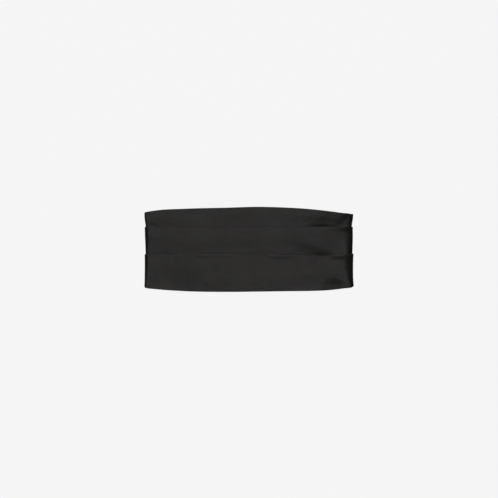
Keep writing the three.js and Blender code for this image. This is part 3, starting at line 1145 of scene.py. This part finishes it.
def thread_points(ends):
    """The rings of every stitch, as stitches by rings by sides by 3."""
    start, stop, out = ends[:, 0], ends[:, 1], ends[:, 2]
    way = stop - start
    way /= np.linalg.norm(way, axis=1, keepdims=True)
    beside = np.cross(out, way)
    share = np.linspace(0, 1, thread_rings)
    bow = 1 - (2 * share - 1) ** 4
    angle = np.arange(thread_sides) * 2 * math.pi / thread_sides
    middle = start[:, None] + (stop - start)[:, None] * share[None, :, None]
    middle = middle + out[:, None] * (thread_bow * bow - thread_bow)[None, :, None]
    ring = beside[:, None] * np.cos(angle)[None, :, None] + out[:, None] * np.sin(angle)[None, :, None]
    thin = thread_radius * mix(thread_pull, 1, bow)
    return middle[:, :, None] + ring[:, None] * thin[None, :, None, None]


def stitches(name, ends):
    """ends holds a start, a stop and an outward direction for each stitch, in millimetres."""
    u = np.arange(thread_rings) * ring_step
    v = np.arange(thread_sides) * side_step
    cap_spread = [(0.0, 0.0)] * thread_sides
    faces, spread = [], []
    for s in range(len(ends)):
        more = tube_faces(u, v, v + side_step, cap_spread, s * thread_rings * thread_sides)
        faces += more[0]
        spread += more[1]
    return closed_piece(name, thread_points(ends), faces, spread, thread)


print("a stitch has", thread_rings * thread_sides, "points")

# %% Rows of stitches in the end bands
stitch_pitch = 3.0
stitch_length = 2.4
thread_out = 0.08  # how far the thread's middle stands out of the cloth
up, down = (0, 0, 1), (0, 0, -1)


def row_across(x, half, height_at, out):
    """Stitches along a line across the waist. height_at gives z from y."""
    count = int(2 * half // stitch_pitch)
    ends = []
    for i in range(count):
        y = (i - (count - 1) / 2) * stitch_pitch
        from_y, to_y = y - stitch_length / 2, y + stitch_length / 2
        pair = [(x, place + end_middle, height_at(place)) for place in (from_y, to_y)]
        ends.append([*pair, out])
    return ends


def sew(name, ends, side):
    """Stitches on one side, which show as part of the piece that they are sewn into."""
    ends = np.array(ends, float)
    ends[:, :2] = on_side(ends[:, :2], side)
    piece = stitches(name, ends)
    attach(piece, "root")


band_stitches = []
for row in stitch_rows:
    half = band_width / 2 - stitch_inset
    band_stitches += row_across(row, half, lambda y: band_top(row, y) + band_cloth / 2 + thread_out, up)
    band_stitches += row_across(row, half, lambda y: band_low - band_cloth / 2 + thread_radius - snug, down)
for side in sides:
    sew(side + "_end_band_stitches", band_stitches, side)
print(len(band_stitches), "stitches in each end band")

# %% [markdown]
# The straps
#
# A short length of elastic webbing runs from each end band to the clasp, over the clasp's bar,
# down its slot and back underneath, where it is sewn to itself. Webbing has ribs that run along
# it, and they are wide enough to be real shape. So one ribbed section is drawn once, and carried
# along a path of straights and arcs.

# %% The strap's path, with rounded corners
clasp_length = 34.0
clasp_wall = 2.0
clasp_low = 1.7  # the plate's underside above the table
clasp_bar = 3.2  # how wide the bar is that the strap goes over
strap_return = 15.0  # how much of the strap comes back underneath
strap_bend = 1.0
strap_step = 0.9  # from one place on the path to the next
arc_step = 0.16  # the same on an arc, in radians
webbing_gap, bar_gap, slot_gap = 0.1, 0.15, 0.35  # air under the strap, over the bar and in the slot
out_of_band, onto_return = 1.5, 4.0  # it slopes from this far past the band to this far before its end
climb_start, climb_end = 2.2, 0.2  # how far before the bar it starts to climb, and is up

bar_edge = clasp_length / 2
bar_inside = bar_edge - clasp_bar
return_middle = strap_wall / 2 + webbing_gap
over_return = return_middle + strap_wall + webbing_gap
over_bar = clasp_low + clasp_wall + bar_gap + strap_wall / 2
in_slot = bar_inside - slot_gap - strap_wall / 2
return_end = bar_inside + strap_return
strap_corners = [
    (strap_end, strap_in_band),
    (band_shut - out_of_band, strap_in_band),
    (return_end + onto_return, over_return),
    (bar_edge + climb_start, over_return),
    (bar_edge + climb_end, over_bar),
    (in_slot, over_bar),
    (in_slot, return_middle),
    (return_end, return_middle),
]


def swung(arm, angle):
    """An arm swung by an angle."""
    x, z = arm
    return np.array([x * math.cos(angle) - z * math.sin(angle), x * math.sin(angle) + z * math.cos(angle)])


def rounded(corners, radius, step):
    """Points along straights that are joined by arcs, as x and z."""
    corners = [np.array(c, float) for c in corners]
    path = [corners[0]]
    for before, corner, after in zip(corners, corners[1:], corners[2:]):
        came, goes = corner - before, after - corner
        came, goes = came / np.linalg.norm(came), goes / np.linalg.norm(goes)
        turn = math.atan2(came[0] * goes[1] - came[1] * goes[0], came @ goes)
        back = radius * math.tan(abs(turn) / 2)
        inwards = np.array([-came[1], came[0]]) * math.copysign(1, turn)
        centre = corner - came * back + inwards * radius
        for share in np.linspace(0, 1, 2 + int(abs(turn) / arc_step)):
            path.append(centre + swung(-inwards * radius, turn * share))
    path.append(corners[-1])
    even = [path[0]]
    for a, b in zip(path, path[1:]):
        pieces = max(1, round(float(np.linalg.norm(b - a)) / step))
        even += [mix(a, b, (k + 1) / pieces) for k in range(pieces)]
    return np.array(even)


strap_path = rounded(strap_corners, strap_bend, strap_step)

# %% Ribbed webbing along the path
rib_pitch = 1.25
rib_height = 0.09
strap_edge = 0.5  # how round the webbing's edges are
rib_points, strap_edge_points = 121, 7


def ribbed_section():
    """Round the webbing's section: y across it and n out of it."""
    flat = np.linspace(strap_edge - strap_width / 2, strap_width / 2 - strap_edge, rib_points)
    ribs = strap_wall / 2 - rib_height * (0.5 - 0.5 * np.cos(flat * 2 * math.pi / rib_pitch))
    turn = np.linspace(math.pi / 2, -math.pi / 2, strap_edge_points)[1:-1]
    side_y = strap_width / 2 - strap_edge + strap_edge * np.cos(turn)
    side_n = (strap_wall / 2 - rib_height) * np.sin(turn)
    y = np.concatenate([flat, side_y, flat[::-1], -side_y])
    n = np.concatenate([ribs, side_n, -ribs, -side_n])
    return y, n


def strap_piece(name, side):
    """The ribbed section carried along the strap's path."""
    along_strap = np.gradient(strap_path, axis=0)
    along_strap /= np.linalg.norm(along_strap, axis=1, keepdims=True)
    normal = np.stack([along_strap[:, 1], -along_strap[:, 0]], 1)
    y, n = ribbed_section()
    x = strap_path[:, :1] + n[None, :] * normal[:, :1]
    z = strap_path[:, 1:] + n[None, :] * normal[:, 1:]
    points = np.stack([x, end_middle + y[None, :] + 0 * x, z], 2)
    u = lengths_along(points, 0).mean(1)
    v_step = np.hypot(np.roll(y, -1) - y, np.roll(n, -1) - n)
    v = np.cumsum(v_step) - v_step
    faces, spread = tube_faces(u, v, v + v_step, list(zip(y, n)))
    return closed_piece(name, on_side(points, side), faces, spread, webbing)


seam_inset = 1.0  # from the strap's edges to the ends of its seams
near_bar, near_end = 4.4, 2.0  # how far the two seams are from the bar and from the turned end
strap_stitches = []
for row in (bar_edge + near_bar, return_end - near_end):
    half = strap_width / 2 - seam_inset
    seam_top = over_return + strap_wall / 2 + thread_out - rib_height
    seam_bottom = return_middle - strap_wall / 2 + thread_out
    strap_stitches += row_across(row, half, lambda y: seam_top, up)
    strap_stitches += row_across(row, half, lambda y: seam_bottom, down)
for side in sides:
    strap = strap_piece(side + "_strap_webbing", side)
    settle(strap, side + "_strap")
    sew(side + "_strap_stitches", strap_stitches, side)
print(len(strap_stitches), "stitches in each strap")

# %% [markdown]
# The clasp
#
# The fastening is out of sight, so it is one plain plate with a slot for each strap. A flat
# curve with a bevel suits it better than a box that is cut: the outline and both slots get the
# same small rounded edge, as stamped and enamelled metal has.

# %% The outlines of the plate and its slots
clasp_rim = 3.0  # metal beside the slots' ends
clasp_corner = 3.5
clasp_slot = 4.6
slot_corner = 0.9
slot_clear = 0.6  # from a slot's end to the strap's edge
corner_points = 9


def rounded_rectangle(low_x, high_x, half_y, corner):
    """Points round a rectangle whose corners are arcs."""
    points = []
    turns = ((high_x, -half_y, -90), (high_x, half_y, 0), (low_x, half_y, 90), (low_x, -half_y, 180))
    for x, y, start in turns:
        centre_x = x - math.copysign(corner, x - (low_x + high_x) / 2)
        centre_y = y - math.copysign(corner, y)
        for degrees in np.linspace(start, start + 90, corner_points):
            angle = math.radians(degrees)
            points.append((centre_x + corner * math.cos(angle), centre_y + corner * math.sin(angle)))
    return points


slot_half = strap_width / 2 + slot_clear
clasp_outlines = [rounded_rectangle(-bar_edge, bar_edge, slot_half + clasp_rim, clasp_corner)]
for low_x in (bar_inside - clasp_slot, -bar_inside):
    clasp_outlines.append(rounded_rectangle(low_x, low_x + clasp_slot, slot_half, slot_corner))
print("the plate has", len(clasp_outlines) - 1, "slots of", clasp_slot, "by", 2 * slot_half, "mm")

# %% A plate from a flat curve
clasp_bevel = 0.35
bevel_steps = 3
weld = 0.01 * mm  # points closer than this become one


def flat_curve(name, outlines):
    """A filled flat curve with a bevelled edge. Its inner outlines are holes."""
    curve = bpy.data.curves.new(name, "CURVE")
    curve.dimensions = "2D"
    curve.fill_mode = "BOTH"
    curve.extrude = (clasp_wall / 2 - clasp_bevel) * mm
    curve.bevel_depth = clasp_bevel * mm
    curve.bevel_resolution = bevel_steps
    curve.offset = -clasp_bevel * mm
    for outline in outlines:
        line = curve.splines.new("POLY")
        line.points.add(len(outline) - 1)
        for point, (x, y) in zip(line.points, outline):
            point.co = (x * mm, (y + end_middle) * mm, 0, 1)
        line.use_cyclic_u = True
    return placed(name, curve)


def make_clasp():
    drawn = flat_curve("clasp outline", clasp_outlines)
    bpy.context.view_layer.update()
    mesh = bpy.data.meshes.new_from_object(drawn.evaluated_get(bpy.context.evaluated_depsgraph_get()))
    bpy.data.objects.remove(drawn)
    mend(mesh, lift=(clasp_low + clasp_wall / 2) * mm, weld=weld)
    mesh.materials.clear()
    mesh.materials.append(enamel)
    mesh.shade_smooth()
    return placed("clasp_plate", mesh)


clasp = make_clasp()
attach(clasp, "root")
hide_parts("clasp")
print("clasp of", clasp_length, "mm")
